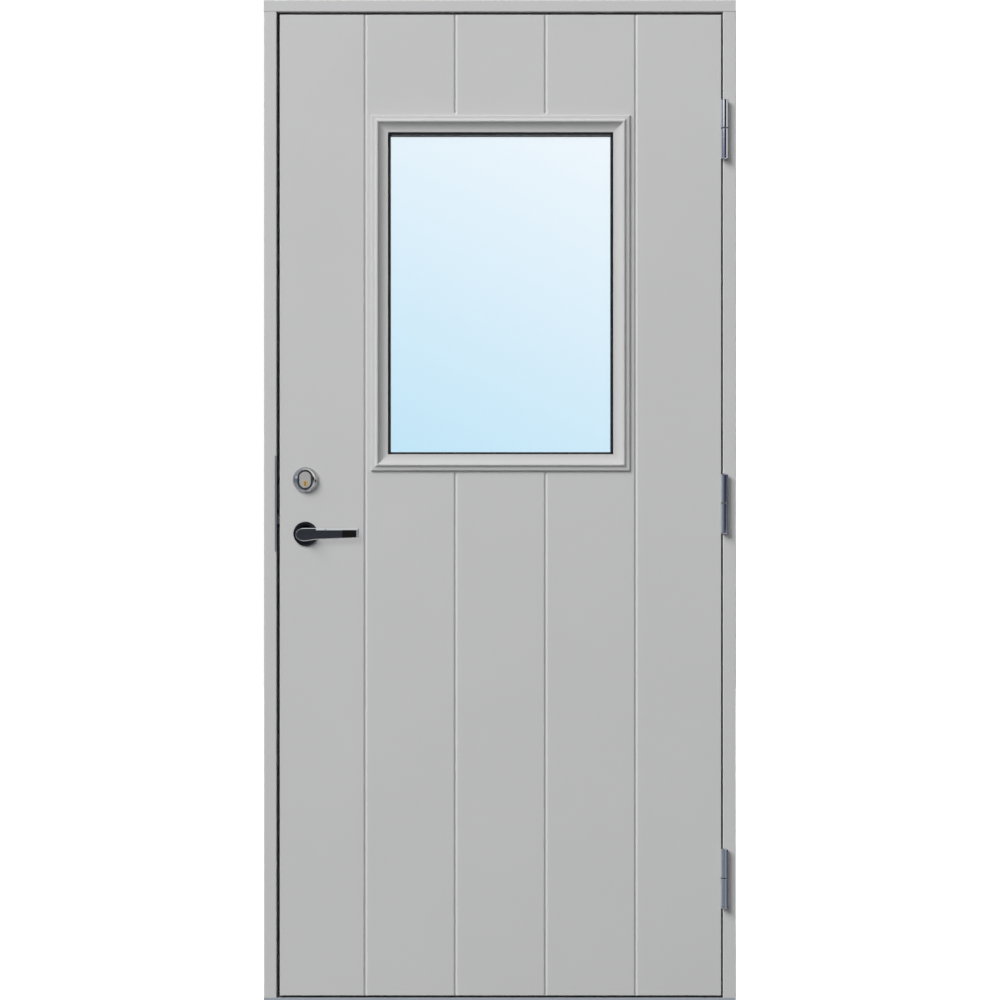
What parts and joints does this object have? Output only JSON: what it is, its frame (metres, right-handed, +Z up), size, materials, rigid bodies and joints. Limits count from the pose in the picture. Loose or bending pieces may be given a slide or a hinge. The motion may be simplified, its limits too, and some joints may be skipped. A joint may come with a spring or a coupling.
{
  "type": "glass door",
  "caption": "Outward-opening exterior door leaf with V-grooves and a framed window, hung on hinges in a rebated frame with threshold, lever handles, lock and thumb turn.",
  "frame": {"origin": "underside of the threshold, at mid width and mid depth of the frame", "axes": "+Z up, +X to the right seen from outside, -Y outwards"},
  "size_m": [0.985, 0.176, 2.09],
  "materials": {
    "painted_timber": "satin paint over timber",
    "painted_leaf": "satin paint over fibreboard and timber edges",
    "oak": "oiled",
    "foam": "rigid foam",
    "anodised_aluminium": "anodised",
    "seal_rubber": "smooth",
    "gasket_rubber": "smooth",
    "pane_glass": "clear with a pale blue cast",
    "spacer_metal": "mill finish",
    "block_plastic": "moulded",
    "trim_plastic": "satin paint over moulded plastic",
    "zinc_steel": "bright zinc plating",
    "nylon": "moulded",
    "screw_steel": "zinc plated",
    "lock_steel": "pressed and plated",
    "bolt_steel": "nickel plated",
    "black_chrome": "dark polished chrome",
    "satin_chrome": "satin chrome",
    "plug_brass": "polished"
  },
  "bodies": {
    "frame": {"jamb_lock_side": "painted_timber", "jamb_hinge_side": "painted_timber", "frame_head": "painted_timber", "threshold_core": "oak", "threshold_cap": "anodised_aluminium", "frame_corner_screws": "screw_steel", "seal_head": "seal_rubber", "seal_lock_side": "seal_rubber", "seal_hinge_side": "seal_rubber", "seal_threshold": "seal_rubber", "strike_plate": "lock_steel", "strike_screws": "screw_steel", "hinge_top_frame_half": "zinc_steel", "hinge_middle_frame_half": "zinc_steel", "hinge_bottom_frame_half": "zinc_steel", "hinge_pins": "zinc_steel", "hinge_washers": "nylon", "hinge_foot_caps": "zinc_steel", "hinge_frame_screws": "screw_steel"},
    "leaf": {"leaf_outer_skin": "painted_leaf", "leaf_inner_skin": "painted_leaf", "leaf_stile_lock": "painted_leaf", "leaf_stile_hinge": "painted_leaf", "leaf_rail_top": "painted_leaf", "leaf_rail_bottom": "painted_leaf", "leaf_core": "foam", "glass_outer": "pane_glass", "glass_middle": "pane_glass", "glass_inner": "pane_glass", "glass_spacers": "spacer_metal", "setting_blocks": "block_plastic", "glazing_gasket_outer": "gasket_rubber", "glazing_gasket_inner": "gasket_rubber", "glazing_trim_outer": "trim_plastic", "glazing_trim_inner": "trim_plastic", "glazing_screws": "screw_steel", "hinge_top_leaf_half": "zinc_steel", "hinge_middle_leaf_half": "zinc_steel", "hinge_bottom_leaf_half": "zinc_steel", "hinge_top_caps": "zinc_steel", "hinge_leaf_screws": "screw_steel", "lock_case": "lock_steel", "lock_case_cover": "lock_steel", "lock_forend": "lock_steel", "forend_screws": "screw_steel", "outer_rose": "black_chrome", "inner_rose": "black_chrome", "cylinder_ring": "satin_chrome", "cylinder_body": "satin_chrome", "turn_plate": "satin_chrome", "cylinder_screws": "screw_steel"},
    "lever_set": {"outer_lever": "black_chrome", "inner_lever": "black_chrome", "spindle": "lock_steel", "lever_follower": "lock_steel"},
    "latch": {"latch_bolt": "bolt_steel"},
    "bolt": {"dead_bolt": "bolt_steel"},
    "turn": {"thumb_turn": "satin_chrome"},
    "plug": {"key_plug": "plug_brass"}
  },
  "joints": [
    {"name": "door_swing", "type": "hinge", "parent": "frame", "child": "leaf", "pos_m": [0.4685, -0.0615, 1.04], "axis": [0, 0, 1], "range_deg": [0, 170]},
    {"name": "lever_turn", "type": "hinge", "parent": "leaf", "child": "lever_set", "pos_m": [-0.4054, -0.0225, 0.976], "axis": [0, 1, 0], "range_deg": [0, 45], "stiffness_Nm_per_rad": 1.5, "springref_deg": -20.05},
    {"name": "latch_slide", "type": "slide", "parent": "leaf", "child": "latch", "axis": [1, 0, 0], "range_m": [0, 0.012]},
    {"name": "thumb_turn_turn", "type": "hinge", "parent": "leaf", "child": "turn", "pos_m": [-0.4054, -0.0225, 1.081], "axis": [0, 1, 0], "range_deg": [0, 90]},
    {"name": "dead_bolt_slide", "type": "slide", "parent": "leaf", "child": "bolt", "axis": [-1, 0, 0], "range_m": [0, 0.02]},
    {"name": "key_plug_turn", "type": "hinge", "parent": "leaf", "child": "plug", "pos_m": [-0.4054, -0.05, 1.081], "axis": [0, 1, 0], "range_deg": [-90, 90]}
  ],
  "couplings": [
    {"joint": "latch_slide", "follows": "lever_turn", "m_per_rad": 0.015279},
    {"joint": "dead_bolt_slide", "follows": "thumb_turn_turn", "m_per_rad": 0.012732}
  ]
}
